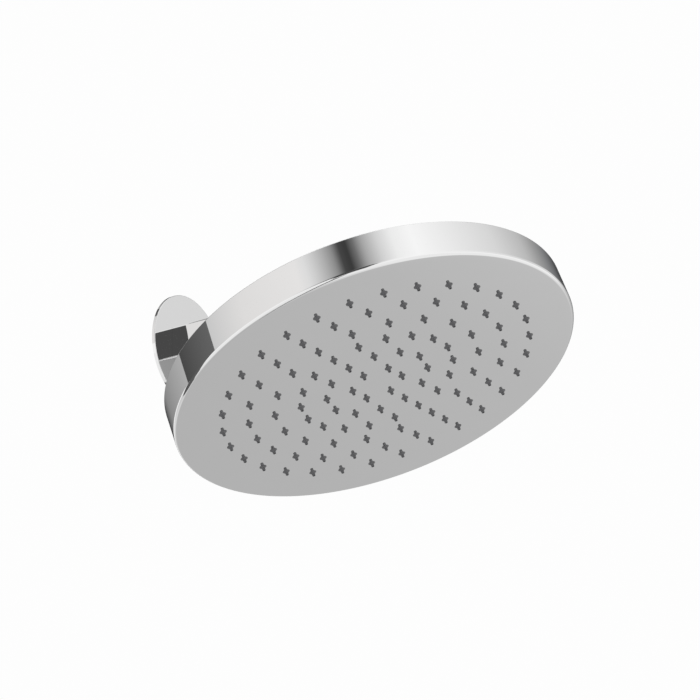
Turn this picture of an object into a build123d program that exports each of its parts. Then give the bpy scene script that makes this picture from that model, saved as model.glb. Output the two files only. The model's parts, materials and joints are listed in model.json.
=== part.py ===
from build123d import *
from math import asin, cos, degrees, hypot, radians, sin, sqrt
import os

# Wall-mounted rain shower head: a flat round drum that hangs by a ball joint under a short
# rectangular arm. The origin is the middle of the wall flange on the wall, the room lies
# along -Y and +Z is up. Sizes are in millimetres and degrees.

# Drum
head_radius = 125.0
head_height = 22.8  # from the spray face to the back
head_tilt = 20.0  # the drum's axis leans this far towards the wall
front_edge_round = 2.6
back_edge_break = 0.5
face_thickness = 2.0
side_wall = 2.6
rim_lip = 1.2  # what is left of the side wall beside the back cover
cover_thickness = 2.0

# Spray pattern
nozzles_per_ring = (6, 12, 18, 18, 24, 30)
first_ring_radius = 15.4
spray_margin = 28.9  # from the outermost ring to the side of the drum
nub_radius = 1.4
nub_height = 2.1  # how far a nub stands out of the spray face
orifice_radius = 0.55
mat_thickness = 1.5
mat_margin = 4.0  # from the outermost ring to the edge of the mat

# Water chamber
plate_thickness = 1.8
plate_margin = 2.0  # how far the nozzle plate reaches past the mat
slot_width = 3.0
slots_per_ring = 3
slot_bridge = 3.0  # web left between two slots of one ring
chamber_height = 4.5
lid_thickness = 1.8
lid_rim = 3.6
lid_edge = 3.4  # lid outside its screws
lid_ribs = 12
rib_width = 2.0
rib_height = 2.5

# Screws of the head
boss_radius = 3.0
boss_overlap = 0.4  # how far a cover boss reaches into the side wall
cover_screw_count = 8
lid_screw_count = 8
screw_radius = 1.4
screw_length = 7.0
screw_head_radius = 2.6
screw_head_height = 1.3
pilot_depth = 1.0  # the pilot hole runs on below the screw

# Ball joint
ball_radius = 11.0
neck_radius = 5.0
neck_length = 5.5
swing_limit = 25.0  # widest angle between the drum's axis and the stud
swing_margin = 1.5
water_radius = 3.2  # water way through the stud
outlet_radius = 5.5  # water way out of the ball seat
ring_thickness = 1.2
ring_start_angle = 66.0  # friction ring, from the drum's axis
ring_end_angle = 81.0
seat_start_angle = 100.0  # top of the ball seat, from the drum's axis
seat_wall = 2.4
seat_floor = 1.0
seal_angle = 130.0  # ball seal, from the drum's axis
ball_seal_width = 2.2
socket_wall = 2.4
socket_floor = 2.6
spigot_radius = 9.0
spigot_nut_height = 3.0
spigot_nut_wall = 4.0
collar_wall = 2.4
collar_skirt = 10.0
collar_shoulder = 1.0  # above the middle of the ball
collar_lip = 1.4  # height of the lip over the edge of its ball pocket
collar_round = 1.2

# Arm, stud and wall side
arm_reach = 133.2  # from the wall to the middle of the ball
arm_overhang = 16.0  # arm past the middle of the ball
arm_width = 36.0
arm_height = 21.0
arm_wall = 2.0
arm_corner = 1.5
arm_inset = 0.6  # the arm ends just short of the wall
cap_thickness = 2.0
cap_plug = 4.0
bush_wall = 4.0
bush_height = 8.0
hex_across_flats = 18.0
hex_thickness = 2.5
shank_radius = 6.0
shank_length = 9.5
regulator_radius = 4.4
regulator_height = 3.6
screen_thickness = 0.8
jet_radius = 1.4
flange_radius = 36.0
flange_thickness = 2.2
flange_edge_round = 0.4
flange_hole_gap = 0.2
recess_depth = 1.2
recess_edge = 3.0
nipple_radius = 10.48  # G1/2 pipe thread
nipple_length = 14.0
nipple_chamfer = 1.0
nipple_bore = 3.2
key_across_flats = 12.0
key_depth = 7.0
nipple_spigot_radius = 6.0
nipple_spigot_length = 20.0
block_length = 22.0
grub_radius = 2.0
grub_offset = 8.0  # from the wall
grub_recess = 0.3
grub_key_radius = 1.15
grub_key_depth = 1.4
nipple_seal_spacing = 3.6

# Square rubber seals
seal_width = 1.8

# Clearances
seat_gap = 0.05  # pieces that are fixed to each other
ball_gap = 0.15  # pieces that slide on the ball
nub_gap = 0.15
running_gap = 0.4  # pieces that pass each other

# Heights in the head, measured along its axis from the spray face
plate_base = face_thickness + mat_thickness
chamber_base = plate_base + plate_thickness
lid_base = chamber_base + chamber_height
lid_top = lid_base + lid_thickness
socket_floor_top = lid_top + socket_floor
cover_base = head_height - cover_thickness
ball_height = socket_floor_top + seat_floor + sqrt(ball_radius**2 - outlet_radius**2)
shoulder_height = ball_height + collar_shoulder

# Radii in the head
last_ring_radius = head_radius - spray_margin
ring_pitch = (last_ring_radius - first_ring_radius) / (len(nozzles_per_ring) - 1)
mat_radius = last_ring_radius + mat_margin
plate_radius = mat_radius + plate_margin
lid_screw_circle = plate_radius + running_gap + boss_radius
lid_radius = lid_screw_circle + lid_edge
cover_radius = head_radius - rim_lip - seat_gap
cover_screw_circle = head_radius - side_wall - boss_radius + boss_overlap
ring_inner = ball_radius + ball_gap
ring_outer = ring_inner + ring_thickness
pocket_radius = ring_outer + ball_gap
seat_outer = ring_inner + seat_wall
socket_inner = seat_outer + ball_gap
socket_outer = socket_inner + socket_wall
collar_inner = socket_outer + seat_gap
collar_outer = collar_inner + collar_wall

# Places
ball_drop = arm_height / 2 + hex_thickness + neck_length + sqrt(ball_radius**2 - neck_radius**2)
ball_centre = Vector(0, -arm_reach, -ball_drop)
head_up = Vector(0, sin(radians(head_tilt)), cos(radians(head_tilt)))
face_centre = ball_centre - head_up * ball_height
face_plane = Plane(origin=face_centre, x_dir=(1, 0, 0), z_dir=head_up)
head_section = Plane(origin=face_centre, x_dir=(1, 0, 0), z_dir=Vector(1, 0, 0).cross(head_up))
head_axis = Axis(face_centre, head_up)
stud_section = Plane(origin=ball_centre, x_dir=(1, 0, 0), z_dir=(0, -1, 0))
stud_axis = Axis(ball_centre, (0, 0, 1))
wall_section = Plane(origin=(0, 0, 0), x_dir=(1, 0, 0), z_dir=(0, 0, -1))
wall_axis = Axis((0, 0, 0), (0, -1, 0))
arm_end = arm_reach + arm_overhang
arm_bottom = Plane(origin=(0, -arm_reach, -arm_height / 2))
arm_inner_width = arm_width - 2 * arm_wall
arm_inner_height = arm_height - 2 * arm_wall
arm_inner_corner = arm_corner / 2


def nozzle_circles(radius):
    """Draw a circle at every nozzle of the spray pattern."""
    for ring, count in enumerate(nozzles_per_ring):
        with PolarLocations(first_ring_radius + ring * ring_pitch, count):
            Circle(radius)


def boss_circles(circle_radius, count, radius, start_angle=0.0):
    """Draw a circle at every screw of one screw circle of the head."""
    with PolarLocations(circle_radius, count, start_angle=start_angle):
        Circle(radius)


def seal_ring(section, axis, ring_radius, height):
    """Turn one square rubber ring, the middle of its section at the given radius and height."""
    with BuildSketch(section) as ring_section:
        with Locations((ring_radius, height)):
            Rectangle(seal_width - 2 * seat_gap, seal_width)
    revolve(ring_section.sketch, axis=axis)


os.makedirs("parts", exist_ok=True)

# Drum: spray face and side wall in one piece, with a rebate for the back cover
lid_screw_start = 180 / lid_screw_count
with BuildPart() as head_shell:
    with BuildSketch(head_section):
        with BuildLine():
            Polyline((0, face_thickness), (0, 0), (head_radius - front_edge_round, 0))
            CenterArc((head_radius - front_edge_round, front_edge_round), front_edge_round, 270, 90)
            Polyline(
                (head_radius, front_edge_round),
                (head_radius, head_height - back_edge_break),
                (head_radius - back_edge_break, head_height),
                (head_radius - rim_lip, head_height),
                (head_radius - rim_lip, cover_base),
                (head_radius - side_wall, cover_base),
                (head_radius - side_wall, face_thickness),
                (0, face_thickness),
            )
        make_face()
    revolve(axis=head_axis)
    with BuildSketch(face_plane):
        nozzle_circles(nub_radius + nub_gap)
    extrude(amount=face_thickness, mode=Mode.SUBTRACT)
    with BuildSketch(face_plane.offset(face_thickness)):
        boss_circles(cover_screw_circle, cover_screw_count, boss_radius)
    extrude(amount=cover_base - face_thickness)
    with BuildSketch(face_plane.offset(face_thickness)):
        boss_circles(lid_screw_circle, lid_screw_count, boss_radius, lid_screw_start)
    extrude(amount=lid_base - face_thickness)
    with BuildSketch(face_plane.offset(head_height)):
        boss_circles(cover_screw_circle, cover_screw_count, screw_radius + seat_gap)
    extrude(amount=-(screw_length + pilot_depth), mode=Mode.SUBTRACT)
    with BuildSketch(face_plane.offset(lid_top)):
        boss_circles(lid_screw_circle, lid_screw_count, screw_radius + seat_gap, lid_screw_start)
    extrude(amount=-(screw_length + pilot_depth), mode=Mode.SUBTRACT)
head_shell.part.label = "head_shell"
export_step(head_shell.part, "parts/head_shell.step")

# Silicone mat: one sheet with a bored nub through every hole of the spray face
with BuildPart() as nozzle_mat:
    with BuildSketch(face_plane.offset(face_thickness)):
        Circle(mat_radius)
    extrude(amount=mat_thickness)
    with BuildSketch(face_plane.offset(face_thickness)):
        nozzle_circles(nub_radius)
    extrude(amount=-(face_thickness + nub_height))
    with BuildSketch(face_plane.offset(plate_base)):
        nozzle_circles(orifice_radius)
    extrude(amount=-(plate_base + nub_height), mode=Mode.SUBTRACT)
nozzle_mat.part.label = "nozzle_mat"
export_step(nozzle_mat.part, "parts/nozzle_mat.step")

# Nozzle plate: presses the mat on the face and feeds each ring of nubs through arc slots
with BuildPart() as nozzle_plate:
    with BuildSketch(face_plane.offset(plate_base)):
        Circle(plate_radius)
        for ring, count in enumerate(nozzles_per_ring):
            ring_radius = first_ring_radius + ring * ring_pitch
            bridge_angle = degrees((slot_bridge + slot_width) / ring_radius)
            slot_angle = 360 / slots_per_ring - bridge_angle
            for slot in range(slots_per_ring):
                start_angle = 180 / count + slot * 360 / slots_per_ring + bridge_angle / 2
                with BuildLine(mode=Mode.PRIVATE) as slot_line:
                    CenterArc((0, 0), ring_radius, start_angle, slot_angle)
                SlotArc(slot_line.edges()[0], slot_width, mode=Mode.SUBTRACT)
    extrude(amount=plate_thickness)
nozzle_plate.part.label = "nozzle_plate"
export_step(nozzle_plate.part, "parts/nozzle_plate.step")

# Chamber lid: flat cover with a rim that stands on the nozzle plate and ribs on its back
rim_outer = plate_radius - seat_gap
rim_inner = rim_outer - lid_rim
rim_middle = (rim_outer + rim_inner) / 2
with BuildPart() as chamber_lid:
    with BuildSketch(face_plane.offset(lid_base)):
        Circle(lid_radius)
    extrude(amount=lid_thickness)
    with BuildSketch(face_plane.offset(chamber_base)):
        Circle(rim_outer)
        Circle(rim_inner, mode=Mode.SUBTRACT)
    extrude(amount=chamber_height)
    with BuildSketch(face_plane.offset(lid_top)):
        with PolarLocations((rim_middle + socket_outer) / 2 + rib_width, lid_ribs):
            Rectangle(rim_middle - socket_outer - 2 * rib_width, rib_width)
    extrude(amount=rib_height)
    with BuildSketch(face_plane.offset(chamber_base)):
        Circle(rim_middle + seal_width / 2)
        Circle(rim_middle - seal_width / 2, mode=Mode.SUBTRACT)
    extrude(amount=seal_width, mode=Mode.SUBTRACT)
    with BuildSketch(face_plane.offset(lid_base)):
        Circle(spigot_radius + seat_gap)
        boss_circles(lid_screw_circle, lid_screw_count, screw_radius + seat_gap, lid_screw_start)
    extrude(amount=lid_thickness, mode=Mode.SUBTRACT)
chamber_lid.part.label = "chamber_lid"
export_step(chamber_lid.part, "parts/chamber_lid.step")

with BuildPart() as lid_seal:
    seal_ring(head_section, head_axis, rim_middle, chamber_base + seal_width / 2)
lid_seal.part.label = "lid_seal"
export_step(lid_seal.part, "parts/lid_seal.step")

# Lid screws: round heads on the lid, shanks in the bosses of the drum
with BuildPart() as lid_screws:
    with BuildSketch(face_plane.offset(lid_top)):
        boss_circles(lid_screw_circle, lid_screw_count, screw_radius, lid_screw_start)
    extrude(amount=-screw_length)
    with BuildSketch(face_plane.offset(lid_top)):
        boss_circles(lid_screw_circle, lid_screw_count, screw_head_radius, lid_screw_start)
    extrude(amount=screw_head_height)
lid_screws.part.label = "lid_screws"
export_step(lid_screws.part, "parts/lid_screws.step")

# Back cover: flat disc in the rebate of the drum, open in the middle for the collar
with BuildPart(face_plane.offset(head_height)) as back_cover:
    with BuildSketch(face_plane.offset(cover_base)):
        Circle(cover_radius)
        Circle(collar_outer + running_gap, mode=Mode.SUBTRACT)
    extrude(amount=cover_thickness)
    with PolarLocations(cover_screw_circle, cover_screw_count):
        CounterSinkHole(screw_radius + seat_gap, screw_head_radius + seat_gap, counter_sink_angle=90)
back_cover.part.label = "back_cover"
export_step(back_cover.part, "parts/back_cover.step")

# Cover screws: countersunk, flush with the back of the drum
sink_height = screw_head_radius - screw_radius
with BuildPart(face_plane.offset(head_height)) as cover_screws:
    with PolarLocations(cover_screw_circle, cover_screw_count):
        Cone(
            screw_radius,
            screw_head_radius,
            sink_height,
            align=(Align.CENTER, Align.CENTER, Align.MAX),
        )
        Cylinder(screw_radius, screw_length, align=(Align.CENTER, Align.CENTER, Align.MAX))
cover_screws.part.label = "cover_screws"
export_step(cover_screws.part, "parts/cover_screws.step")

# Inlet socket: brass cup for the ball seat, its spigot held under the lid by a lock nut
socket_ring_radius = (spigot_radius + socket_inner) / 2
with BuildPart() as inlet_socket:
    with BuildSketch(head_section):
        with BuildLine():
            Polyline(
                (outlet_radius, lid_base - spigot_nut_height),
                (spigot_radius, lid_base - spigot_nut_height),
                (spigot_radius, lid_top),
                (socket_outer, lid_top),
                (socket_outer, shoulder_height - ball_gap),
                (socket_inner, shoulder_height - ball_gap),
                (socket_inner, socket_floor_top),
                (outlet_radius, socket_floor_top),
                close=True,
            )
        make_face()
        with Locations((socket_ring_radius, lid_top)):
            Rectangle(seal_width, 2 * seal_width, mode=Mode.SUBTRACT)
    revolve(axis=head_axis)
inlet_socket.part.label = "inlet_socket"
export_step(inlet_socket.part, "parts/inlet_socket.step")

with BuildPart() as socket_seal:
    seal_ring(head_section, head_axis, socket_ring_radius, lid_top + seal_width / 2)
socket_seal.part.label = "socket_seal"
export_step(socket_seal.part, "parts/socket_seal.step")

with BuildPart() as socket_nut:
    with BuildSketch(face_plane.offset(lid_base - spigot_nut_height)):
        RegularPolygon(spigot_radius + spigot_nut_wall, 6, major_radius=False)
        Circle(spigot_radius + seat_gap, mode=Mode.SUBTRACT)
    extrude(amount=spigot_nut_height)
socket_nut.part.label = "socket_nut"
export_step(socket_nut.part, "parts/socket_nut.step")

# Ball seat: plastic cup under the ball, with a groove for the ball seal
seal_distance = ring_inner + ball_seal_width / 2
seal_place = (
    seal_distance * sin(radians(seal_angle)),
    ball_height + seal_distance * cos(radians(seal_angle)),
)
seat_top = ball_height + ring_inner * cos(radians(seat_start_angle))
with BuildPart() as ball_seat:
    with BuildSketch(head_section):
        with Locations(((outlet_radius + seat_outer) / 2, (socket_floor_top + seat_top) / 2)):
            Rectangle(seat_outer - outlet_radius, seat_top - socket_floor_top)
        with Locations((0, ball_height)):
            Circle(ring_inner, mode=Mode.SUBTRACT)
        with Locations(seal_place):
            Rectangle(ball_seal_width, ball_seal_width, mode=Mode.SUBTRACT)
    revolve(axis=head_axis)
ball_seat.part.label = "ball_seat"
export_step(ball_seat.part, "parts/ball_seat.step")

with BuildPart() as ball_seal:
    with BuildSketch(head_section):
        with Locations(seal_place):
            Rectangle(ball_seal_width - 2 * seat_gap, ball_seal_width)
        with Locations((0, ball_height)):
            Circle(ring_inner, mode=Mode.SUBTRACT)
    revolve(axis=head_axis)
ball_seal.part.label = "ball_seal"
export_step(ball_seal.part, "parts/ball_seal.step")

# Friction ring: a zone of a thin plastic sphere between the ball and the collar
ring_sweep = ring_end_angle - ring_start_angle
with BuildPart() as friction_ring:
    with BuildSketch(head_section):
        with BuildLine():
            inner_arc = CenterArc((0, ball_height), ring_inner, 90 - ring_end_angle, ring_sweep)
            outer_arc = CenterArc((0, ball_height), ring_outer, 90 - ring_end_angle, ring_sweep)
            Line(inner_arc @ 0, outer_arc @ 0)
            Line(inner_arc @ 1, outer_arc @ 1)
        make_face()
    revolve(axis=head_axis)
friction_ring.part.label = "friction_ring"
export_step(friction_ring.part, "parts/friction_ring.step")

# Collar nut: screwed over the socket, its lip flared so that the neck can swing
lip_angle = swing_limit + degrees(asin(neck_radius / pocket_radius)) + swing_margin
collar_top = pocket_radius * cos(radians(lip_angle)) + collar_lip
flare_radius = collar_top * sin(radians(lip_angle)) / cos(radians(lip_angle))
pocket_start = degrees(asin(collar_shoulder / pocket_radius))
with BuildPart() as collar_nut:
    with BuildSketch(head_section):
        with BuildLine():
            pocket = CenterArc((0, ball_height), pocket_radius, pocket_start, 90 - lip_angle - pocket_start)
            Polyline(
                pocket @ 1,
                (flare_radius, ball_height + collar_top),
                (collar_outer - collar_round, ball_height + collar_top),
            )
            CenterArc(
                (collar_outer - collar_round, ball_height + collar_top - collar_round), collar_round, 0, 90
            )
            Polyline(
                (collar_outer, ball_height + collar_top - collar_round),
                (collar_outer, shoulder_height - collar_skirt),
                (collar_inner, shoulder_height - collar_skirt),
                (collar_inner, shoulder_height),
                pocket @ 0,
            )
        make_face()
    revolve(axis=head_axis)
collar_nut.part.label = "collar_nut"
export_step(collar_nut.part, "parts/collar_nut.step")

# Ball stud: bored ball, neck, hexagon with a seal groove, and threaded shank
hex_bottom = ball_drop - arm_height / 2 - hex_thickness
hex_top = hex_bottom + hex_thickness
shank_top = hex_top + shank_length
ball_flat = sqrt(ball_radius**2 - outlet_radius**2)
neck_start = sqrt(ball_radius**2 - neck_radius**2)
stud_ring_radius = (shank_radius + hex_across_flats / 2) / 2
regulator_base = shank_top - regulator_height - screen_thickness
with BuildPart() as ball_stud:
    with BuildSketch(stud_section):
        with BuildLine():
            ball_arc = ThreePointArc(
                (outlet_radius, -ball_flat), (ball_radius, 0), (neck_radius, neck_start)
            )
            Polyline(
                ball_arc @ 1,
                (neck_radius, hex_top),
                (shank_radius, hex_top),
                (shank_radius, shank_top),
                (regulator_radius, shank_top),
                (regulator_radius, regulator_base),
                (water_radius, regulator_base),
                (water_radius, -ball_flat),
                ball_arc @ 0,
            )
        make_face()
    revolve(axis=stud_axis)
    with BuildSketch(Plane(ball_centre).offset(hex_bottom)):
        RegularPolygon(hex_across_flats / 2, 6, major_radius=False)
        Circle(water_radius, mode=Mode.SUBTRACT)
    extrude(amount=hex_thickness)
    with BuildSketch(arm_bottom):
        Circle(stud_ring_radius + seal_width / 2)
        Circle(stud_ring_radius - seal_width / 2, mode=Mode.SUBTRACT)
    extrude(amount=-seal_width, mode=Mode.SUBTRACT)
ball_stud.part.label = "ball_stud"
export_step(ball_stud.part, "parts/ball_stud.step")

with BuildPart() as stud_seal:
    seal_ring(stud_section, stud_axis, stud_ring_radius, hex_top - seal_width / 2)
stud_seal.part.label = "stud_seal"
export_step(stud_seal.part, "parts/stud_seal.step")

# Flow regulator and filter screen in the top of the stud
with BuildPart() as flow_regulator:
    with BuildSketch(Plane(ball_centre).offset(regulator_base)):
        Circle(regulator_radius - seat_gap)
        Circle(jet_radius, mode=Mode.SUBTRACT)
    extrude(amount=regulator_height)
flow_regulator.part.label = "flow_regulator"
export_step(flow_regulator.part, "parts/flow_regulator.step")

screen_hole_radius = regulator_radius / 6
with BuildPart() as filter_screen:
    with BuildSketch(Plane(ball_centre).offset(regulator_base + regulator_height)):
        Circle(regulator_radius - seat_gap)
        Circle(screen_hole_radius, mode=Mode.SUBTRACT)
        with PolarLocations(regulator_radius / 2, 6):
            Circle(screen_hole_radius, mode=Mode.SUBTRACT)
    extrude(amount=screen_thickness)
filter_screen.part.label = "filter_screen"
export_step(filter_screen.part, "parts/filter_screen.step")

# Arm: rectangular tube from the wall to past the ball, with the outlet and set screw holes below
grub_place = Plane(origin=(0, -grub_offset, -arm_height / 2))
with BuildPart() as arm_tube:
    with BuildSketch(Plane.XZ.offset(arm_inset)):
        RectangleRounded(arm_width, arm_height, arm_corner)
        RectangleRounded(arm_inner_width, arm_inner_height, arm_inner_corner, mode=Mode.SUBTRACT)
    extrude(amount=arm_end - arm_inset)
    with BuildSketch(arm_bottom):
        Circle(shank_radius + seat_gap)
    extrude(amount=arm_wall, mode=Mode.SUBTRACT)
    with BuildSketch(grub_place):
        Circle(grub_radius + seat_gap)
    extrude(amount=arm_wall, mode=Mode.SUBTRACT)
arm_tube.part.label = "arm_tube"
export_step(arm_tube.part, "parts/arm_tube.step")

# End cap: plate with a plug that fits the tube
with BuildPart() as arm_end_cap:
    with BuildSketch(Plane.XZ.offset(arm_end)):
        RectangleRounded(arm_width, arm_height, arm_corner)
    extrude(amount=cap_thickness)
    fillet(arm_end_cap.faces().sort_by(Axis.Y)[0].edges(), arm_corner / 2)
    with BuildSketch(Plane.XZ.offset(arm_end)):
        RectangleRounded(arm_inner_width - 2 * seat_gap, arm_inner_height - 2 * seat_gap, arm_inner_corner)
    extrude(amount=-cap_plug)
arm_end_cap.part.label = "arm_end_cap"
export_step(arm_end_cap.part, "parts/arm_end_cap.step")

# Outlet bush: threaded ring brazed on the floor of the tube
with BuildPart() as outlet_bush:
    with BuildSketch(arm_bottom.offset(arm_wall)):
        Circle(shank_radius + bush_wall)
        Circle(shank_radius + seat_gap, mode=Mode.SUBTRACT)
    extrude(amount=bush_height)
outlet_bush.part.label = "outlet_bush"
export_step(outlet_bush.part, "parts/outlet_bush.step")

# Inlet block: brazed into the wall end of the tube, bored for the spigot of the nipple
with BuildPart() as arm_inlet_block:
    with BuildSketch(Plane.XZ.offset(arm_inset)):
        RectangleRounded(arm_inner_width - 2 * seat_gap, arm_inner_height - 2 * seat_gap, arm_inner_corner)
        Circle(nipple_spigot_radius + seat_gap, mode=Mode.SUBTRACT)
    extrude(amount=block_length)
    with BuildSketch(grub_place):
        Circle(grub_radius + seat_gap)
    extrude(amount=arm_height / 2, mode=Mode.SUBTRACT)
arm_inlet_block.part.label = "arm_inlet_block"
export_step(arm_inlet_block.part, "parts/arm_inlet_block.step")

# Wall nipple: pipe thread into the wall with a key socket, and a spigot with two seal grooves
seal_places = [nipple_spigot_length - seal_width - step * nipple_seal_spacing for step in range(2)]
with BuildPart() as wall_nipple:
    with BuildSketch(wall_section):
        with BuildLine():
            Polyline(
                (nipple_bore, -nipple_length),
                (nipple_radius - nipple_chamfer, -nipple_length),
                (nipple_radius, nipple_chamfer - nipple_length),
                (nipple_radius, 0),
                (nipple_spigot_radius, 0),
                (nipple_spigot_radius, nipple_spigot_length),
                (nipple_bore, nipple_spigot_length),
                close=True,
            )
        make_face()
        with Locations(*[(nipple_spigot_radius, place) for place in seal_places]):
            Rectangle(2 * seal_width, seal_width, mode=Mode.SUBTRACT)
    revolve(axis=wall_axis)
    with BuildSketch(Plane.XZ.offset(-nipple_length)):
        RegularPolygon(key_across_flats / 2, 6, major_radius=False)
    extrude(amount=key_depth, mode=Mode.SUBTRACT)
wall_nipple.part.label = "wall_nipple"
export_step(wall_nipple.part, "parts/wall_nipple.step")

with BuildPart() as nipple_seals:
    for place in seal_places:
        seal_ring(wall_section, wall_axis, nipple_spigot_radius - seal_width / 2, place)
nipple_seals.part.label = "nipple_seals"
export_step(nipple_seals.part, "parts/nipple_seals.step")

# Set screw under the arm, with a key socket, locking the arm on the spigot
with BuildPart() as arm_grub_screw:
    with BuildSketch(grub_place.offset(grub_recess)):
        Circle(grub_radius)
    extrude(amount=arm_height / 2 - grub_recess - nipple_spigot_radius - seat_gap)
    with BuildSketch(grub_place.offset(grub_recess)):
        RegularPolygon(grub_key_radius, 6)
    extrude(amount=grub_key_depth, mode=Mode.SUBTRACT)
arm_grub_screw.part.label = "arm_grub_screw"
export_step(arm_grub_screw.part, "parts/arm_grub_screw.step")

# Wall flange: thin round disc over the arm, recessed at the back for its gasket
flange_hole = (arm_width + 2 * flange_hole_gap, arm_height + 2 * flange_hole_gap, arm_corner)
recess_radius = flange_radius - recess_edge
with BuildPart() as wall_flange:
    with BuildSketch(Plane.XZ):
        Circle(flange_radius)
        RectangleRounded(*flange_hole, mode=Mode.SUBTRACT)
    extrude(amount=flange_thickness)
    front_face = wall_flange.faces().sort_by(Axis.Y)[0]
    fillet(front_face.outer_wire().edges(), flange_edge_round)
    with BuildSketch(Plane.XZ):
        Circle(recess_radius)
    extrude(amount=recess_depth, mode=Mode.SUBTRACT)
wall_flange.part.label = "wall_flange"
export_step(wall_flange.part, "parts/wall_flange.step")

with BuildPart() as flange_gasket:
    with BuildSketch(Plane.XZ):
        Circle(recess_radius - seat_gap)
        Circle(hypot(arm_width, arm_height) / 2 + running_gap, mode=Mode.SUBTRACT)
    extrude(amount=recess_depth)
flange_gasket.part.label = "flange_gasket"
export_step(flange_gasket.part, "parts/flange_gasket.step")

print("ball centre", tuple(ball_centre), "spray face", tuple(face_centre), "axis", tuple(head_up))
print("ball from spray face", round(ball_height, 3), "collar lip angle", round(lip_angle, 2))
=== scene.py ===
# %% [markdown]
# Rain shower head, dressed for its picture
#
# The solids come from the CAD model and stay where they are. This script gives them finishes, and
# puts smooth, finer shapes in place of the polished pieces, because a mirror shows every facet.

# %% Load the frame
import bmesh
import bpy
import json
from math import atan2, cos, pi, radians, sin, sqrt, tan
from mathutils import Matrix, Vector


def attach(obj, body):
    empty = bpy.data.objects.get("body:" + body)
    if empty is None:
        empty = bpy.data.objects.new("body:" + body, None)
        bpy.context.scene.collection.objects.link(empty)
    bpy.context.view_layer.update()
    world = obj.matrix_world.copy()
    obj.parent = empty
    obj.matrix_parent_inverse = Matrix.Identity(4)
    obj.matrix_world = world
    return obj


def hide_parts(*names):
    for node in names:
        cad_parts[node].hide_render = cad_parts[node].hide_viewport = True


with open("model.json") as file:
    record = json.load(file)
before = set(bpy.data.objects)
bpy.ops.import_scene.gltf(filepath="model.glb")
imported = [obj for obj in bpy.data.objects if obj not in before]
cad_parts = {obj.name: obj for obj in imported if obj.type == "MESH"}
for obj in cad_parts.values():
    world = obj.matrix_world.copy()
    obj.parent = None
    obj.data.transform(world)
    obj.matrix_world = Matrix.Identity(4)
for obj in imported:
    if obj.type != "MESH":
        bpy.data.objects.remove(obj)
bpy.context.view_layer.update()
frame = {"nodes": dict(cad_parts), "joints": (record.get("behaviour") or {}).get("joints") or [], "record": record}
MM = 0.001

# %% [markdown]
# The head hangs on a ball and leans out of level. Its own axes make the pieces easy to describe:
# a radius from the middle of the drum, and a height above the spray face. The swivel joint of the
# CAD model gives the ball's centre and the drum's axis, so nothing here is measured twice.

# %% Axes of the drum
swivel = next(joint for joint in frame["joints"] if joint["name"] == "swivel")
ball = Vector(swivel["pos_m"])
drum_up = Vector(swivel["axis"]).normalized()
ball_height = 24.726  # millimetres above the spray face
face_middle = ball - drum_up * ball_height * MM


def upright_place(origin, x_axis, z_axis):
    """Matrix that takes a piece from its own axes to its place in the frame."""
    y_axis = z_axis.cross(x_axis)
    turn = Matrix((x_axis, y_axis, z_axis)).transposed().to_4x4()
    return Matrix.Translation(origin) @ turn


drum_place = upright_place(face_middle, Vector((1, 0, 0)), drum_up)
stud_place = Matrix.Translation(ball)
wall_place = upright_place(Vector((0, 0, 0)), Vector((1, 0, 0)), Vector((0, -1, 0)))
print("spray face centre:", tuple(round(v, 4) for v in face_middle))

# %% [markdown]
# The camera looks up at the drum from in front, below and to one side, from a little over a metre,
# with a long lens that keeps the ellipse of the spray face almost undistorted.

# %% Camera
camera_data = bpy.data.cameras.new("camera")
camera_data.sensor_width = 36.0
camera_data.lens = 112.86
camera = bpy.data.objects.new("camera", camera_data)
bpy.context.collection.objects.link(camera)
camera_spot = Vector((-1.0478, -0.7820, -0.4983))
camera_right = Vector((0.5375, -0.8428, -0.0171)).normalized()
camera_back = Vector((-0.79071, -0.49745, -0.35632)).normalized()
camera_right = (camera_right - camera_back * camera_right.dot(camera_back)).normalized()
camera.matrix_world = upright_place(camera_spot, camera_right, camera_back)
bpy.context.scene.camera = camera
print("camera looks along", tuple(round(-v, 3) for v in camera_back))

# %% [markdown]
# Chrome has no colour of its own: it shows the room. So the room is the larger half of this
# picture. It begins with a white sky that lights everything evenly.

# %% Sky
sky_white = (0.985, 0.985, 0.985, 1.0)
bpy.context.scene.view_settings.view_transform = "Standard"
world = bpy.data.worlds.new("white_sky")
bpy.context.scene.world = world
world.use_nodes = True
sky = world.node_tree.nodes["Background"]
sky.inputs["Color"].default_value = sky_white
sky.inputs["Strength"].default_value = 1.0
print("sky:", sky_white[0])

# %% [markdown]
# The rest of the room is a set of stage pieces. Most of them glow and are there for the chrome
# alone: neither the camera nor the floor sees them, and they cast no shadow. Their light is written
# as the grey that the chrome shows in the picture.


# %% Tools for the stage
def new_material(name):
    """An empty node material, with its tree and output node."""
    material = bpy.data.materials.new(name)
    material.use_nodes = True
    tree = material.node_tree
    tree.nodes.clear()
    output = tree.nodes.new("ShaderNodeOutputMaterial")
    return material, tree, output


def grey_light(level):
    """Light level that a mirror of nine tenths shows as this grey of the picture, 0 to 255."""
    share = level / 255
    linear = ((share + 0.055) / 1.055) ** 2.4
    return linear / 0.9


def put_on_stage(name, mesh, material, origin=(0, 0, 0), only_mirrored=True):
    """Stand a mesh on the stage, as a rule so that only mirrors show it."""
    data = bpy.data.meshes.new(name)
    mesh.to_mesh(data)
    mesh.free()
    data.materials.append(material)
    piece = bpy.data.objects.new(name, data)
    piece.location = origin
    bpy.context.collection.objects.link(piece)
    if only_mirrored:
        piece.visible_camera = False
        piece.visible_diffuse = False
        piece.visible_shadow = False
    print(name, "faces:", len(data.polygons))


# %% [markdown]
# A ring of studio wall stands around the object, with lit and dark panels. Each panel becomes one
# band on the drum's side, because the side is straight along its height and only turns around its
# axis. The panels are stops of a colour ramp that runs around the compass.


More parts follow.
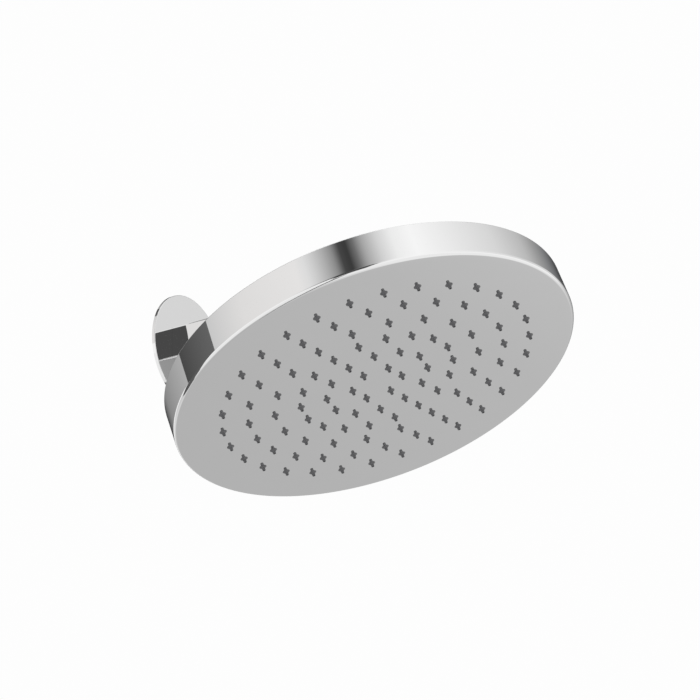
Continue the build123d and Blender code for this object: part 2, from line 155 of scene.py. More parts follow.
# %% Panels of the studio wall
def compass_angle(tree):
    """Nodes for a point's compass angle, 0 to 1 from -X round to -X, and for its coordinates."""
    spot = tree.nodes.new("ShaderNodeTexCoord")
    parts = tree.nodes.new("ShaderNodeSeparateXYZ")
    tree.links.new(spot.outputs["Object"], parts.inputs[0])
    compass = tree.nodes.new("ShaderNodeMath")
    compass.operation = "ARCTAN2"
    tree.links.new(parts.outputs["Y"], compass.inputs[0])
    tree.links.new(parts.outputs["X"], compass.inputs[1])
    share = tree.nodes.new("ShaderNodeMapRange")
    share.inputs["From Min"].default_value = -pi
    share.inputs["From Max"].default_value = pi
    tree.links.new(compass.outputs[0], share.inputs["Value"])
    return share.outputs["Result"], parts


def compass_ramp(tree, value, stops):
    """A colour ramp around the compass, from (degrees, colour) stops."""
    ramp = tree.nodes.new("ShaderNodeValToRGB")
    steps = ramp.color_ramp.elements
    steps.remove(steps[1])
    for number, (angle, colour) in enumerate(stops):
        place = (angle + 180) / 360
        stop = steps[0] if number == 0 else steps.new(place)
        stop.position = place
        stop.color = list(colour) + [1.0]
    tree.links.new(value, ramp.inputs["Fac"])
    return ramp


neutral, warm, cool = (1.0, 1.0, 1.0), (1.012, 0.998, 0.99), (0.985, 1.0, 1.03)
# Compass angle in degrees from +X, the grey that the panel gives, its tint.
wall_panels = (
    (-180, 204, neutral),
    (-174, 174, neutral),
    (-169, 140, neutral),
    (-165, 70, neutral),
    (-160.5, 55, neutral),
    (-156, 109, neutral),
    (-151, 164, neutral),
    (-142, 208, neutral),
    (-132, 235, neutral),
    (-118, 245, neutral),
    (-92, 233, neutral),
    (-53, 213, neutral),
    (-25, 184, neutral),
    (-12, 152, neutral),
    (0, 122, cool),
    (14, 73, cool),
    (46, 66, cool),
    (60, 133, neutral),
    (91, 170, neutral),
    (118.7, 199, neutral),
    (140, 219, warm),
    (171, 226, warm),
    (176, 219, neutral),
    (180, 204, neutral),
)
wall_material, tree, output = new_material("studio_panels")
compass, _ = compass_angle(tree)
panel_colours = [
    (angle, [grey_light(level) * part for part in tint]) for angle, level, tint in wall_panels
]
panels = compass_ramp(tree, compass, panel_colours)
glow = tree.nodes.new("ShaderNodeEmission")
tree.links.new(panels.outputs["Color"], glow.inputs["Color"])
tree.links.new(glow.outputs[0], output.inputs["Surface"])
print("studio wall panels:", len(wall_panels))

# %% [markdown]
# The wall itself is a tall open cylinder. Its axis goes through the middle of the spray face, so
# the compass angles of the panels are those that the drum sees.

# %% Studio wall
wall_low, wall_high, wall_radius, wall_sides = 0.6, 12.0, 6.0, 180
wall_mesh = bmesh.new()
bmesh.ops.create_circle(wall_mesh, cap_ends=False, segments=wall_sides, radius=wall_radius)
bmesh.ops.translate(wall_mesh, vec=(0, 0, wall_low), verts=wall_mesh.verts)
raised = bmesh.ops.extrude_edge_only(wall_mesh, edges=wall_mesh.edges[:])["geom"]
top = [item for item in raised if isinstance(item, bmesh.types.BMVert)]
bmesh.ops.translate(wall_mesh, vec=(0, 0, wall_high - wall_low), verts=top)
put_on_stage("studio_wall", wall_mesh, wall_material, origin=face_middle)

# %% [markdown]
# Boards stand inside the ring. A board is described by rows: a height angle and the compass angles
# of its two sides, as seen from the spray face. Its grey runs from side to side, and its edges are
# feathered across and up, as shares of its size.


# %% Tools for boards
def soft_edge(tree, value, feather):
    """Nodes that rise from 0 at both ends of a 0 to 1 value to 1 inside."""
    fold = tree.nodes.new("ShaderNodeMath")
    fold.operation = "PINGPONG"
    fold.inputs[1].default_value = 0.5
    tree.links.new(value, fold.inputs[0])
    rise = tree.nodes.new("ShaderNodeMapRange")
    rise.interpolation_type = "SMOOTHSTEP"
    rise.inputs["From Max"].default_value = feather
    tree.links.new(fold.outputs[0], rise.inputs["Value"])
    return rise.outputs["Result"]


def board_material(name, greys, feather):
    """A glow that runs between two greys across the board and fades out at its edges."""
    material, tree, output = new_material(name)
    place = tree.nodes.new("ShaderNodeUVMap")
    parts = tree.nodes.new("ShaderNodeSeparateXYZ")
    tree.links.new(place.outputs[0], parts.inputs[0])
    run = tree.nodes.new("ShaderNodeMapRange")
    run.inputs["To Min"].default_value = grey_light(greys[0])
    run.inputs["To Max"].default_value = grey_light(greys[1])
    tree.links.new(parts.outputs["X"], run.inputs["Value"])
    glow = tree.nodes.new("ShaderNodeEmission")
    tree.links.new(run.outputs["Result"], glow.inputs["Color"])
    cover = tree.nodes.new("ShaderNodeMath")
    cover.operation = "MULTIPLY"
    tree.links.new(soft_edge(tree, parts.outputs["X"], feather[0]), cover.inputs[0])
    tree.links.new(soft_edge(tree, parts.outputs["Y"], feather[1]), cover.inputs[1])
    clear = tree.nodes.new("ShaderNodeBsdfTransparent")
    mixed = tree.nodes.new("ShaderNodeMixShader")
    tree.links.new(cover.outputs[0], mixed.inputs[0])
    tree.links.new(clear.outputs[0], mixed.inputs[1])
    tree.links.new(glow.outputs[0], mixed.inputs[2])
    tree.links.new(mixed.outputs[0], output.inputs["Surface"])
    return material


def board_mesh(away, rows, columns=12):
    """A curved sheet at a distance in metres, with UVs that run across it and up."""
    mesh = bmesh.new()
    uv = mesh.loops.layers.uv.new("across_and_up")
    grid = []
    for number, (height, left, right) in enumerate(rows):
        line = []
        for column in range(columns + 1):
            across = column / columns
            angle = radians(left + (right - left) * across)
            out = Vector((cos(angle), sin(angle), tan(radians(height))))
            point = mesh.verts.new(face_middle + out * away)
            line.append((point, (across, number / (len(rows) - 1))))
        grid.append(line)
    for lower, upper in zip(grid, grid[1:]):
        for column in range(columns):
            around = (lower[column], lower[column + 1], upper[column + 1], upper[column])
            face = mesh.faces.new([point for point, _ in around])
            for loop, (_, spot) in zip(face.loops, around):
                loop[uv].uv = spot
    return mesh


# %% [markdown]
# The dark side board has sharp edges and shows as one leaning dark field on the drum's side. The
# dark rim board carries it on down to the floor, so the field runs out along the drum's rim. The
# dark arm board is what the arm shows in the flange, and the light flange board brightens the
# flange itself. The low board closes the gap between floor and wall behind the object.

# %% Boards
boards = {
    "side_board": {
        "greys": (71, 98),
        "away": 5.8,
        "rows": ((4, 92.2, 118.4), (62, 92.2, 118.4)),
        "feather": (0.004, 0.01),
    },
    "rim_board": {
        "greys": (80, 90),
        "away": 1.0,
        "rows": ((-56, 84, 98), (-47, 90, 109), (-38, 95, 121), (-20, 101, 125), (7, 103, 124.5)),
        "feather": (0.08, 0.04),
    },
    "arm_board": {
        "greys": (74, 74),
        "away": 5.0,
        "rows": ((-18, -154, -132), (-5, -158, -135), (21, -165, -136.5), (34, -169, -146)),
        "feather": (0.15, 0.12),
    },
    "flange_board": {
        "greys": (212, 212),
        "away": 5.0,
        "rows": ((8, -48, -14), (34, -48, -14)),
        "feather": (0.15, 0.15),
    },
    "low_board": {
        "greys": (178, 178),
        "away": 5.5,
        "rows": ((-17, -32, 56), (8, -32, 56)),
        "feather": (0.24, 0.1),
    },
}
for name, board in boards.items():
    material = board_material(name, board["greys"], board["feather"])
    put_on_stage(name, board_mesh(board["away"], board["rows"]), material)

# %% [markdown]
# The floor is plain, pale and matt. It lies well below the object and keeps its shadow.

# %% Floor
floor_height, floor_radius = -1.6, 8.0
floor_grey = 0.86


def disc(height):
    """A round sheet as large as the floor."""
    mesh = bmesh.new()
    place = Matrix.Translation((0, 0, height))
    bmesh.ops.create_circle(mesh, cap_ends=True, segments=96, radius=floor_radius, matrix=place)
    return mesh


floor_material, tree, output = new_material("pale_floor")
matt = tree.nodes.new("ShaderNodeBsdfDiffuse")
matt.inputs["Color"].default_value = (floor_grey, floor_grey, floor_grey, 1.0)
tree.links.new(matt.outputs[0], output.inputs["Surface"])
put_on_stage("floor", disc(floor_height), floor_material, only_mirrored=False)

# %% [markdown]
# The spray face looks down, so a glowing sheet lies on the floor that only the chrome can see. Its glow is a
# painted reflection: the grey of the spray face. Behind the object, where the face looks, it is a little
# darker. To the other sides it runs out into the white of the sky, with the distance from the object.

# %% Painted reflection sheet
face_reflection_grey, sheet_lift = 175, 0.002
fade_start, fade_end = 0.1, 1.3
# Compass angle in degrees from +X, and the share of white that the sheet reaches there.
sheet_whites = (
    (-180, 0.8),
    (-60, 0.85),
    (-35, 0.85),
    (-20, 0.6),
    (-8, 0.26),
    (3, 0.07),
    (15, 0.02),
    (45, 0.02),
    (55, 0.2),
    (66, 0.55),
    (82, 0.4),
    (95, 0.3),
    (118, 0.7),
    (150, 0.85),
)
sheet_material, tree, output = new_material("painted_reflection_sheet")
# The sheet's grey is a glow, a painted reflection that the spray face shows.
face_reflection_glow = tree.nodes.new("ShaderNodeEmission")
face_reflection_glow.inputs["Color"].default_value = [grey_light(face_reflection_grey)] * 3 + [1.0]
white = tree.nodes.new("ShaderNodeEmission")
white.inputs["Color"].default_value = sky_white
compass, parts = compass_angle(tree)
sector = compass_ramp(tree, compass, [(angle, [share] * 3) for angle, share in sheet_whites])
flat = tree.nodes.new("ShaderNodeCombineXYZ")
tree.links.new(parts.outputs["X"], flat.inputs["X"])
tree.links.new(parts.outputs["Y"], flat.inputs["Y"])
distance = tree.nodes.new("ShaderNodeVectorMath")
distance.operation = "LENGTH"
tree.links.new(flat.outputs[0], distance.inputs[0])
fade = tree.nodes.new("ShaderNodeMapRange")
fade.interpolation_type = "SMOOTHSTEP"
fade.inputs["From Min"].default_value = fade_start
fade.inputs["From Max"].default_value = fade_end
tree.links.new(distance.outputs["Value"], fade.inputs["Value"])
share = tree.nodes.new("ShaderNodeMath")
share.operation = "MULTIPLY"
tree.links.new(fade.outputs["Result"], share.inputs[0])
tree.links.new(sector.outputs["Color"], share.inputs[1])
mixed = tree.nodes.new("ShaderNodeMixShader")
tree.links.new(share.outputs[0], mixed.inputs[0])
tree.links.new(face_reflection_glow.outputs[0], mixed.inputs[1])
tree.links.new(white.outputs[0], mixed.inputs[2])
tree.links.new(mixed.outputs[0], output.inputs["Surface"])
put_on_stage("painted_reflection_sheet", disc(floor_height + sheet_lift), sheet_material)

# %% [markdown]
# A dark glowing strip runs under the drum and widens away from it. Only the rim sees it, as a fine dark
# line inside its bright edge: a painted reflection.

# %% Dark strip, a painted reflection
strip_grey, strip_lift = 45, 0.004
strip_start, strip_end = Vector((0.1, -0.107, 0)), Vector((-2.6, -2.04, 0))
near_width, far_width = 0.08, 0.44
strip_material, tree, output = new_material("dark_reflection_glow")
# The strip's dark grey is a glow, a painted reflection in the rim.
shade = tree.nodes.new("ShaderNodeEmission")
shade.inputs["Color"].default_value = [grey_light(strip_grey)] * 3 + [1.0]
tree.links.new(shade.outputs[0], output.inputs["Surface"])
aside = (strip_end - strip_start).cross(Vector((0, 0, 1))).normalized() / 2
lift = Vector((0, 0, floor_height + strip_lift))
corners = (
    strip_start + aside * near_width,
    strip_end + aside * far_width,
    strip_end - aside * far_width,
    strip_start - aside * near_width,
)
strip_mesh = bmesh.new()
strip_mesh.faces.new([strip_mesh.verts.new(corner + lift) for corner in corners])
put_on_stage("painted_reflection_strip", strip_mesh, strip_material)

# %% [markdown]
# Finishes. Every finish is a principled shader whose roughness, and for some its colour, follows a
# noise in object space, so that no surface is perfectly even.


# %% Finishes
def uneven(name, colour, metallic, rough, grain, bump=0.0, colour_change=0.0):
    """A finish whose roughness, colour and fine relief vary a little over the surface."""
    material, tree, output = new_material(name)
    shader = tree.nodes.new("ShaderNodeBsdfPrincipled")
    shader.inputs["Metallic"].default_value = metallic
    place = tree.nodes.new("ShaderNodeTexCoord")
    noise = tree.nodes.new("ShaderNodeTexNoise")
    noise.inputs["Scale"].default_value = grain
    noise.inputs["Detail"].default_value = 4.0
    tree.links.new(place.outputs["Object"], noise.inputs["Vector"])
    spread = tree.nodes.new("ShaderNodeMapRange")
    spread.inputs["To Min"].default_value = rough[0]
    spread.inputs["To Max"].default_value = rough[1]
    tree.links.new(noise.outputs["Fac"], spread.inputs["Value"])
    tree.links.new(spread.outputs["Result"], shader.inputs["Roughness"])
    blend = tree.nodes.new("ShaderNodeMix")
    blend.data_type = "RGBA"
    # Inputs 6 and 7 and output 2 are the colours of this node.
    blend.inputs[6].default_value = [c * (1 - colour_change) for c in colour] + [1.0]
    blend.inputs[7].default_value = [min(1.0, c * (1 + colour_change)) for c in colour] + [1.0]
    tree.links.new(noise.outputs["Fac"], blend.inputs[0])
    tree.links.new(blend.outputs[2], shader.inputs["Base Color"])
    if bump:
        relief = tree.nodes.new("ShaderNodeBump")
        relief.inputs["Strength"].default_value = bump
        relief.inputs["Distance"].default_value = 0.1 * MM
        tree.links.new(noise.outputs["Fac"], relief.inputs["Height"])
        tree.links.new(relief.outputs["Normal"], shader.inputs["Normal"])
    tree.links.new(shader.outputs[0], output.inputs["Surface"])
    return material


finishes = {
    "chrome": uneven(
        "polished_chrome", (0.9, 0.9, 0.9), 1.0, (0.01, 0.035), 60, colour_change=0.01
    ),
    "brass": uneven(
        "turned_brass", (0.72, 0.52, 0.24), 1.0, (0.2, 0.34), 400, bump=0.05, colour_change=0.08
    ),
    "rubber": uneven(
        "black_rubber", (0.03, 0.03, 0.03), 0.0, (0.55, 0.8), 900, bump=0.2, colour_change=0.2
    ),
    "silicone": uneven(
        "grey_silicone", (0.1, 0.1, 0.105), 0.0, (0.3, 0.45), 700, bump=0.1, colour_change=0.12
    ),
    "plastic": uneven(
        "moulded_plastic", (0.72, 0.72, 0.69), 0.0, (0.4, 0.55), 500, bump=0.1, colour_change=0.03
    ),
    "steel": uneven(
        "plain_steel", (0.56, 0.57, 0.58), 1.0, (0.22, 0.36), 600, bump=0.08, colour_change=0.06
    ),
}
slots = {entry["node"]: entry["material_slot"] for entry in frame["record"]["subparts"]}
for node, solid in frame["nodes"].items():
    solid.data.materials.clear()
    solid.data.materials.append(finishes[slots[node]])
print("finishes:", list(finishes))

# %% [markdown]
# Shared tools. A turned piece starts as a short outline of (radius, height) corners that is spun
# about its axis. Its edges are rounded afterwards with a bevel, the way a turned part is broken on
# the lathe. The last helper hands the finished mesh over: smooth shading, weighted normals that
# keep flat faces flat, and the body that the piece moves with.


# %% Tools for turned pieces
sharp_angle = radians(35)


def turned(outline, steps, closed=True):
    """Spin an outline of (radius, height) corners, in millimetres, about the local Z axis."""
    mesh = bmesh.new()
    corners = [mesh.verts.new((radius * MM, 0, height * MM)) for radius, height in outline]
    pairs = list(zip(corners, corners[1:]))
    if closed:
        pairs.append((corners[-1], corners[0]))
    chain = [mesh.edges.new(pair) for pair in pairs]
    bmesh.ops.spin(
        mesh,
        geom=corners + chain,
        cent=(0, 0, 0),
        axis=(0, 0, 1),
        angle=2 * pi,
        steps=steps,
        use_merge=True,
    )
    bmesh.ops.remove_doubles(mesh, verts=mesh.verts[:], dist=1e-7)
    bmesh.ops.recalc_face_normals(mesh, faces=mesh.faces[:])
    return mesh


def ring_edges(mesh, radius, height):
    """The edges of the circle at this radius and height."""
    near = 2e-6

    def on_ring(vertex):
        off_radius = abs(sqrt(vertex.co.x**2 + vertex.co.y**2) - radius * MM)
        return off_radius < near and abs(vertex.co.z - height * MM) < near

    return [edge for edge in mesh.edges if on_ring(edge.verts[0]) and on_ring(edge.verts[1])]


def soften(mesh, edges, width, segments):
    """Round edges off by a width in millimetres."""
    bmesh.ops.bevel(
        mesh,
        geom=edges,
        offset=width * MM,
        segments=segments,
        profile=0.5,
        affect="EDGES",
        material=-1,
    )


def hand_over(name, mesh, place, body, slot, stands_for):
    """Make the object, place it in its mesh, tie it to its body, and hide the CAD node it stands for."""
    bmesh.ops.transform(mesh, matrix=place, verts=mesh.verts[:])
    data = bpy.data.meshes.new(name)
    mesh.to_mesh(data)
    mesh.free()
    data.polygons.foreach_set("use_smooth", [True] * len(data.polygons))
    data.set_sharp_from_angle(angle=sharp_angle)
    data.materials.append(finishes[slot])
    piece = bpy.data.objects.new(name, data)
    bpy.context.collection.objects.link(piece)
    weighted = piece.modifiers.new("flat_faces_stay_flat", "WEIGHTED_NORMAL")
    weighted.keep_sharp = True
    weighted.weight = 100
    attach(piece, body)
    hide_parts(stands_for)
    print(name, "faces:", len(data.polygons))


# %% [markdown]
# Flat faces with holes are filled between loops of edges. A loop can be drawn out along the axis to
# make the wall of a hole or the head of a screw, and a whole flat sheet can be pulled into a solid.


# %% Tools for flat faces with holes
def circle_loop(mesh, radius, level, segments, x=0.0, y=0.0):
    """Edges of a flat circle, placed in millimetres."""
    made = bmesh.ops.create_circle(
        mesh,
        cap_ends=False,
        segments=segments,
        radius=radius * MM,
        matrix=Matrix.Translation((x * MM, y * MM, level * MM)),
    )
    return list(dict.fromkeys(edge for vertex in made["verts"] for edge in vertex.link_edges))


def drawn_out(mesh, edges, rise, shrink=1.0):
    """Extrude a round loop along Z, in millimetres, and give the edges of its far end."""
    made = bmesh.ops.extrude_edge_only(mesh, edges=edges)["geom"]
    far = [item for item in made if isinstance(item, bmesh.types.BMVert)]
    middle = sum((vertex.co for vertex in far), Vector()) / len(far)
    bmesh.ops.scale(mesh, vec=(shrink, shrink, 1), space=Matrix.Translation(-middle), verts=far)
    bmesh.ops.translate(mesh, vec=(0, 0, rise * MM), verts=far)
    reached = set(far)
    new_edges = [item for item in made if isinstance(item, bmesh.types.BMEdge)]
    return [edge for edge in new_edges if set(edge.verts) <= reached]


def fill_between(mesh, loops, up):
    """Close the flat area between an outer loop and the loops inside it."""
    edges = [edge for loop in loops for edge in loop]
    bmesh.ops.triangle_fill(mesh, use_beauty=True, edges=edges, normal=(0, 0, up))


def thicken(mesh, depth):
    """Pull every face of a flat sheet along Z, in millimetres, into a solid."""
    made = bmesh.ops.extrude_face_region(mesh, geom=mesh.faces[:])["geom"]
    far = [item for item in made if isinstance(item, bmesh.types.BMVert)]
    bmesh.ops.translate(mesh, vec=(0, 0, depth * MM), verts=far)
    bmesh.ops.recalc_face_normals(mesh, faces=mesh.faces[:])


# %% [markdown]
# The spray pattern: six rings of nozzles, evenly spaced from the first ring to the last. The drum
# and the nubs are both made from it.

# %% Spray pattern
rings = (6, 12, 18, 18, 24, 30)
first_ring, last_ring = 15.4, 96.1
ring_pitch = (last_ring - first_ring) / (len(rings) - 1)
nub_radius, nub_gap, hole_sides = 1.4, 0.15, 14


def nozzle_ring(number):
    """Middles of the nozzles of one ring, in millimetres on the spray face."""
    radius = first_ring + number * ring_pitch
    for step in range(rings[number]):
        angle = 2 * pi * step / rings[number]
        yield radius * cos(angle), radius * sin(angle)


print("nozzles:", sum(rings))

# %% [markdown]
# The drum: one shell with the spray face and the side wall. The side wall is turned as a ring that
# is still open where the face begins. The face is then filled in between that opening and the
# circles of the nozzle holes, on both of its sides, so that the holes are real. Circles between the
# rings of nozzles split the face into bands, which keeps its triangles short.

# %% Drum
drum_radius, drum_height = 125.0, 22.8
face_thickness, side_wall, rim_lip, cover_thickness = 2.0, 2.6, 1.2, 2.0
front_round, back_break = 2.1, 0.5
drum_sides, band_sides, face_margin = 256, 72, 6.0
fill_radius = drum_radius - face_margin
cover_base = drum_height - cover_thickness
shell = turned(
    [
        (fill_radius, 0),
        (drum_radius, 0),
        (drum_radius, drum_height),
        (drum_radius - rim_lip, drum_height),
        (drum_radius - rim_lip, cover_base),
        (drum_radius - side_wall, cover_base),
        (drum_radius - side_wall, face_thickness),
        (fill_radius, face_thickness),
    ],
    steps=drum_sides,
    closed=False,
)
soften(shell, ring_edges(shell, drum_radius, 0), front_round, segments=8)
soften(shell, ring_edges(shell, drum_radius, drum_height), back_break, segments=3)
borders = [first_ring + (number - 0.5) * ring_pitch for number in range(len(rings))]
front_loops = [circle_loop(shell, radius, 0, band_sides) for radius in borders]
inside_loops = [circle_loop(shell, radius, face_thickness, band_sides) for radius in borders]
front_loops.append(ring_edges(shell, fill_radius, 0))
inside_loops.append(ring_edges(shell, fill_radius, face_thickness))
bmesh.ops.edgeloop_fill(shell, edges=front_loops[0])
bmesh.ops.edgeloop_fill(shell, edges=inside_loops[0])
for number in range(len(rings)):
    front_holes = [
        circle_loop(shell, nub_radius + nub_gap, 0, hole_sides, x, y)
        for x, y in nozzle_ring(number)
    ]
    inside_holes = [drawn_out(shell, loop, face_thickness) for loop in front_holes]
    fill_between(shell, front_loops[number : number + 2] + front_holes, -1)
    fill_between(shell, inside_loops[number : number + 2] + inside_holes, 1)
bmesh.ops.recalc_face_normals(shell, faces=shell.faces[:])
hand_over("drum_shell", shell, drum_place, "head", "chrome", "head_shell")

# %% [markdown]
# The nozzles: soft nubs of one silicone mat that stand out through the holes, so that lime can be
# rubbed off. A nub spreads to a skirt on the face and narrows to its tip: with its mirror image in
# the chrome it makes a small four-pointed mark. One nub is turned and copied to every hole, and the
# sheet they grow from lies behind.

# %% Nozzle nubs
mat_radius, mat_thickness, mat_sides = 100.1, 1.5, 96
mat_gap, root_depth = 0.02, 0.3
skirt_radius, skirt_gap = 2.3, 0.03
tip_radius, tip_height, orifice, bore_floor = 0.95, 2.6, 0.55, 0.5
flank = ((1.5, -0.6), (1.05, -1.3))  # between skirt and tip
root = face_thickness + root_depth
nubs = turned(
    [
        (0, root),
        (nub_radius, root),
        (nub_radius, -skirt_gap),
        (skirt_radius, -skirt_gap),
        *flank,
        (tip_radius, -tip_height),
        (orifice, -tip_height),
        (orifice, -bore_floor),
        (0, -bore_floor),
    ],
    steps=hole_sides,
    closed=False,
)
pattern = nubs.verts[:] + nubs.edges[:] + nubs.faces[:]
pattern_points = nubs.verts[:]
for number in range(len(rings)):
    for x, y in nozzle_ring(number):
        copied = bmesh.ops.duplicate(nubs, geom=pattern)["geom"]
        points = [item for item in copied if isinstance(item, bmesh.types.BMVert)]
        bmesh.ops.translate(nubs, vec=(x * MM, y * MM, 0), verts=points)
bmesh.ops.delete(nubs, geom=pattern_points, context="VERTS")
sheet = turned(
    [
        (0, face_thickness + mat_gap),
        (mat_radius, face_thickness + mat_gap),
        (mat_radius, face_thickness + mat_thickness),
        (0, face_thickness + mat_thickness),
    ],
    steps=mat_sides,
    closed=False,
)
sheet_data = bpy.data.meshes.new("mat_sheet")
sheet.to_mesh(sheet_data)
sheet.free()
nubs.from_mesh(sheet_data)
bpy.data.meshes.remove(sheet_data)
hand_over("nozzle_nubs", nubs, drum_place, "head", "silicone", "nozzle_mat")

# %% [markdown]
# The wall flange is a thin polished disc with a rectangular window for the arm. Its front is filled
# between a circle and the window's outline, and then pulled back to the wall.

# %% Wall flange
flange_radius, flange_thickness, flange_break, flange_sides = 36.0, 2.2, 0.4, 192
arm_width, arm_height, arm_corner = 36.0, 21.0, 1.5
window_play = 0.05


def rounded_window(mesh, width, height, corner, level):
    """Loop of edges of a rectangle with round corners, flat at one height."""
    size = Matrix.Diagonal((width * MM, height * MM, 1, 1))
    made = bmesh.ops.create_grid(
        mesh,
        x_segments=1,
        y_segments=1,
        size=0.5,
        matrix=Matrix.Translation((0, 0, level * MM)) @ size,
    )
    bmesh.ops.bevel(
        mesh,
        geom=made["verts"],
        offset=corner * MM,
        segments=6,
        profile=0.5,
        affect="VERTICES",
        material=-1,
    )
    panel = [face for face in mesh.faces if abs(face.normal.z) > 0.5 and len(face.verts) > 20]
    loop = list(panel[0].edges)
    bmesh.ops.delete(mesh, geom=panel, context="FACES_ONLY")
    return loop


flange = bmesh.new()
window = rounded_window(
    flange, arm_width + window_play, arm_height + window_play, arm_corner, flange_thickness
)
rim = circle_loop(flange, flange_radius, flange_thickness, flange_sides)
fill_between(flange, [window, rim], 1)
thicken(flange, -flange_thickness)
flange_front = ring_edges(flange, flange_radius, flange_thickness)
soften(flange, flange_front, flange_break, segments=5)
hand_over("flange_disc", flange, wall_place, "arm", "chrome", "wall_flange")

# %% [markdown]
# The arm is a rectangular tube. Two outlines with round corners are filled to a flat frame, and the
# frame is pulled out to the arm's length.

# %% Arm
arm_inset, arm_end, arm_wall = 0.6, 149.2, 2.0
arm = bmesh.new()
outside = rounded_window(arm, arm_width, arm_height, arm_corner, arm_inset)
inside = rounded_window(
    arm, arm_width - 2 * arm_wall, arm_height - 2 * arm_wall, arm_corner / 2, arm_inset
)
fill_between(arm, [outside, inside], -1)
thicken(arm, arm_end - arm_inset)
hand_over("arm_bar", arm, wall_place, "arm", "chrome", "arm_tube")

# %% [markdown]
# A plate with a softened front edge closes the arm's end.

# %% End cap
cap_thickness = 2.0
cap_front = (arm_end + cap_thickness) * MM - 1e-6
cap = bmesh.new()
outline = rounded_window(cap, arm_width, arm_height, arm_corner, arm_end)
bmesh.ops.edgeloop_fill(cap, edges=outline)
thicken(cap, cap_thickness)
front = [edge for edge in cap.edges if all(point.co.z > cap_front for point in edge.verts)]
soften(cap, front, arm_corner / 2, segments=4)
hand_over("arm_cap", cap, wall_place, "arm", "chrome", "arm_end_cap")

# %% [markdown]
# The back of the drum is closed by a polished disc with a hole for the collar and countersunk holes
# for the screws around its edge.

# %% Back cover
cover_radius, cover_hole, cover_break, cover_hole_sides = 123.75, 18.95, 0.15, 96
screw_circle, screw_count, screw_sides, screw_play = 119.8, 8, 24, 0.05
screw_radius, screw_head = 1.4, 2.6
sink_depth = screw_head - screw_radius
screw_places = []
for step in range(screw_count):
    angle = 2 * pi * step / screw_count
    screw_places.append((screw_circle * cos(angle), screw_circle * sin(angle)))

cover = bmesh.new()
top_loops = [
    circle_loop(cover, cover_radius, drum_height, drum_sides),
    circle_loop(cover, cover_hole, drum_height, cover_hole_sides),
]
base_loops = [
    circle_loop(cover, cover_radius, cover_base, drum_sides),
    circle_loop(cover, cover_hole, cover_base, cover_hole_sides),
]
bmesh.ops.bridge_loops(cover, edges=top_loops[0] + base_loops[0])
bmesh.ops.bridge_loops(cover, edges=top_loops[1] + base_loops[1])
sink_shrink = (screw_radius + screw_play) / (screw_head + screw_play)
for x, y in screw_places:
    mouth = circle_loop(cover, screw_head + screw_play, drum_height, screw_sides, x, y)
    sink = drawn_out(cover, mouth, -sink_depth, sink_shrink)
    top_loops.append(mouth)
    base_loops.append(drawn_out(cover, sink, sink_depth - cover_thickness))
fill_between(cover, top_loops, 1)
fill_between(cover, base_loops, -1)
bmesh.ops.recalc_face_normals(cover, faces=cover.faces[:])
soften(cover, ring_edges(cover, cover_radius, drum_height), cover_break, segments=2)
hand_over("drum_back", cover, drum_place, "head", "chrome", "back_cover")

# %% [markdown]
# The screws fill those holes. Each is drawn down from its flat head, with a hexagon socket in it.

# %% Back screws
screw_length, socket_radius, socket_depth, socket_taper = 7.0, 1.3, 0.8, 0.96
screws = bmesh.new()
for x, y in screw_places:
    mouth = circle_loop(screws, screw_head, drum_height, screw_sides, x, y)
    socket = circle_loop(screws, socket_radius, drum_height, 6, x, y)
    fill_between(screws, [mouth, socket], 1)
    socket_floor = drawn_out(screws, socket, -socket_depth, socket_taper)
    bmesh.ops.edgeloop_fill(screws, edges=socket_floor)
    neck = drawn_out(screws, mouth, -sink_depth, screw_radius / screw_head)
    screw_end = drawn_out(screws, neck, sink_depth - screw_length)
    bmesh.ops.edgeloop_fill(screws, edges=screw_end)
bmesh.ops.recalc_face_normals(screws, faces=screws.faces[:])
hand_over("back_screws", screws, drum_place, "head", "steel", "cover_screws")

# %% [markdown]
# The ball joint: a stud under the arm ends in a ball, and a collar nut on the drum holds it. The
# collar is turned. Its pocket follows the ball up to a lip, and the lip flares out so that the stud
# can lean.

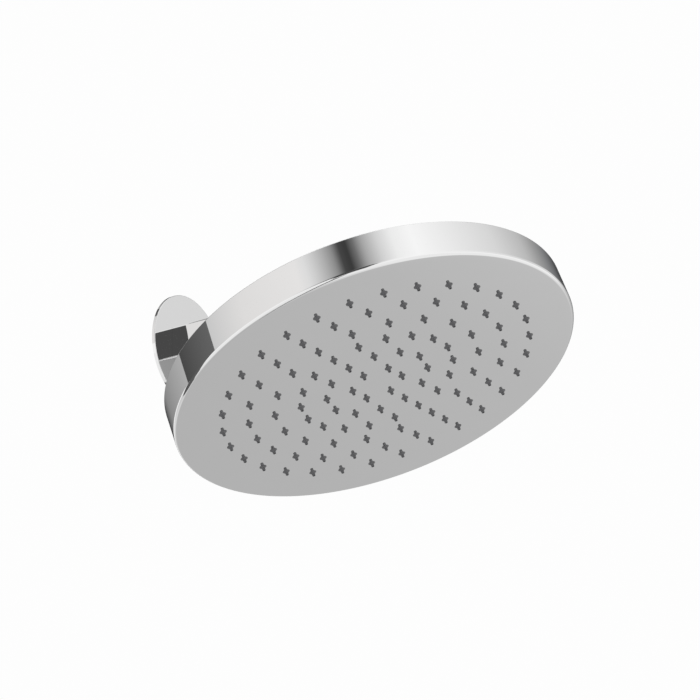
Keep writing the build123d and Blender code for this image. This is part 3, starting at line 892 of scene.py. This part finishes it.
# %% Collar nut
pocket_radius, pocket_steps, collar_sides = 12.5, 8, 128
collar_inner, collar_outer, collar_skirt, collar_round = 16.15, 18.55, 10.0, 1.2
shoulder_rise, lip_rise, lip_break = 1.0, 1.4, 0.2
lip_angle = radians(50.08)
shoulder = ball_height + shoulder_rise
top_rise = pocket_radius * cos(lip_angle) + lip_rise
collar_top = ball_height + top_rise
flare = top_rise * tan(lip_angle)
pocket_low = shoulder_rise / pocket_radius
pocket_high = pi / 2 - lip_angle
pocket = []
for step in range(pocket_steps + 1):
    angle = pocket_low + (pocket_high - pocket_low) * step / pocket_steps
    pocket.append((pocket_radius * cos(angle), ball_height + pocket_radius * sin(angle)))
collar = turned(
    pocket
    + [
        (flare, collar_top),
        (collar_outer, collar_top),
        (collar_outer, shoulder - collar_skirt),
        (collar_inner, shoulder - collar_skirt),
        (collar_inner, shoulder),
    ],
    steps=collar_sides,
)
soften(collar, ring_edges(collar, collar_outer, collar_top), collar_round, segments=5)
soften(collar, ring_edges(collar, flare, collar_top), lip_break, segments=2)
hand_over("collar_ring", collar, drum_place, "head", "chrome", "collar_nut")

# %% [markdown]
# The stud is turned in one go: ball, neck and shank around the water way. Its hexagon is a
# six-sided circle that is pulled up around the end of the neck.

# %% Ball stud
ball_radius, ball_steps, outlet_radius, water_radius = 11.0, 28, 5.5, 3.2
neck_radius, neck_length, shank_radius, shank_length = 5.0, 5.5, 6.0, 9.5
hex_across, hex_thickness, hex_overlap, hex_hole_gap = 18.0, 2.5, 0.5, 0.2
stud_sides, hex_hole_sides = 96, 48
ball_low = -sqrt(ball_radius**2 - outlet_radius**2)
neck_start = sqrt(ball_radius**2 - neck_radius**2)
hex_bottom = neck_start + neck_length
hex_top = hex_bottom + hex_thickness
start, stop = atan2(ball_low, outlet_radius), atan2(neck_start, neck_radius)
profile = [(water_radius, ball_low)]
for step in range(ball_steps + 1):
    angle = start + (stop - start) * step / ball_steps
    profile.append((ball_radius * cos(angle), ball_radius * sin(angle)))
profile += [
    (neck_radius, hex_bottom + hex_overlap),
    (shank_radius, hex_bottom + hex_overlap),
    (shank_radius, hex_top + shank_length),
    (water_radius, hex_top + shank_length),
]
stud = turned(profile, steps=stud_sides)
hexagon = circle_loop(stud, hex_across / 2 / cos(pi / 6), hex_bottom, 6)
hex_hole = circle_loop(stud, neck_radius - hex_hole_gap, hex_bottom, hex_hole_sides)
fill_between(stud, [hexagon, hex_hole], -1)
hex_high = drawn_out(stud, hexagon, hex_thickness)
bmesh.ops.edgeloop_fill(stud, edges=hex_high)
hand_over("stud_with_ball", stud, stud_place, "arm", "chrome", "ball_stud")
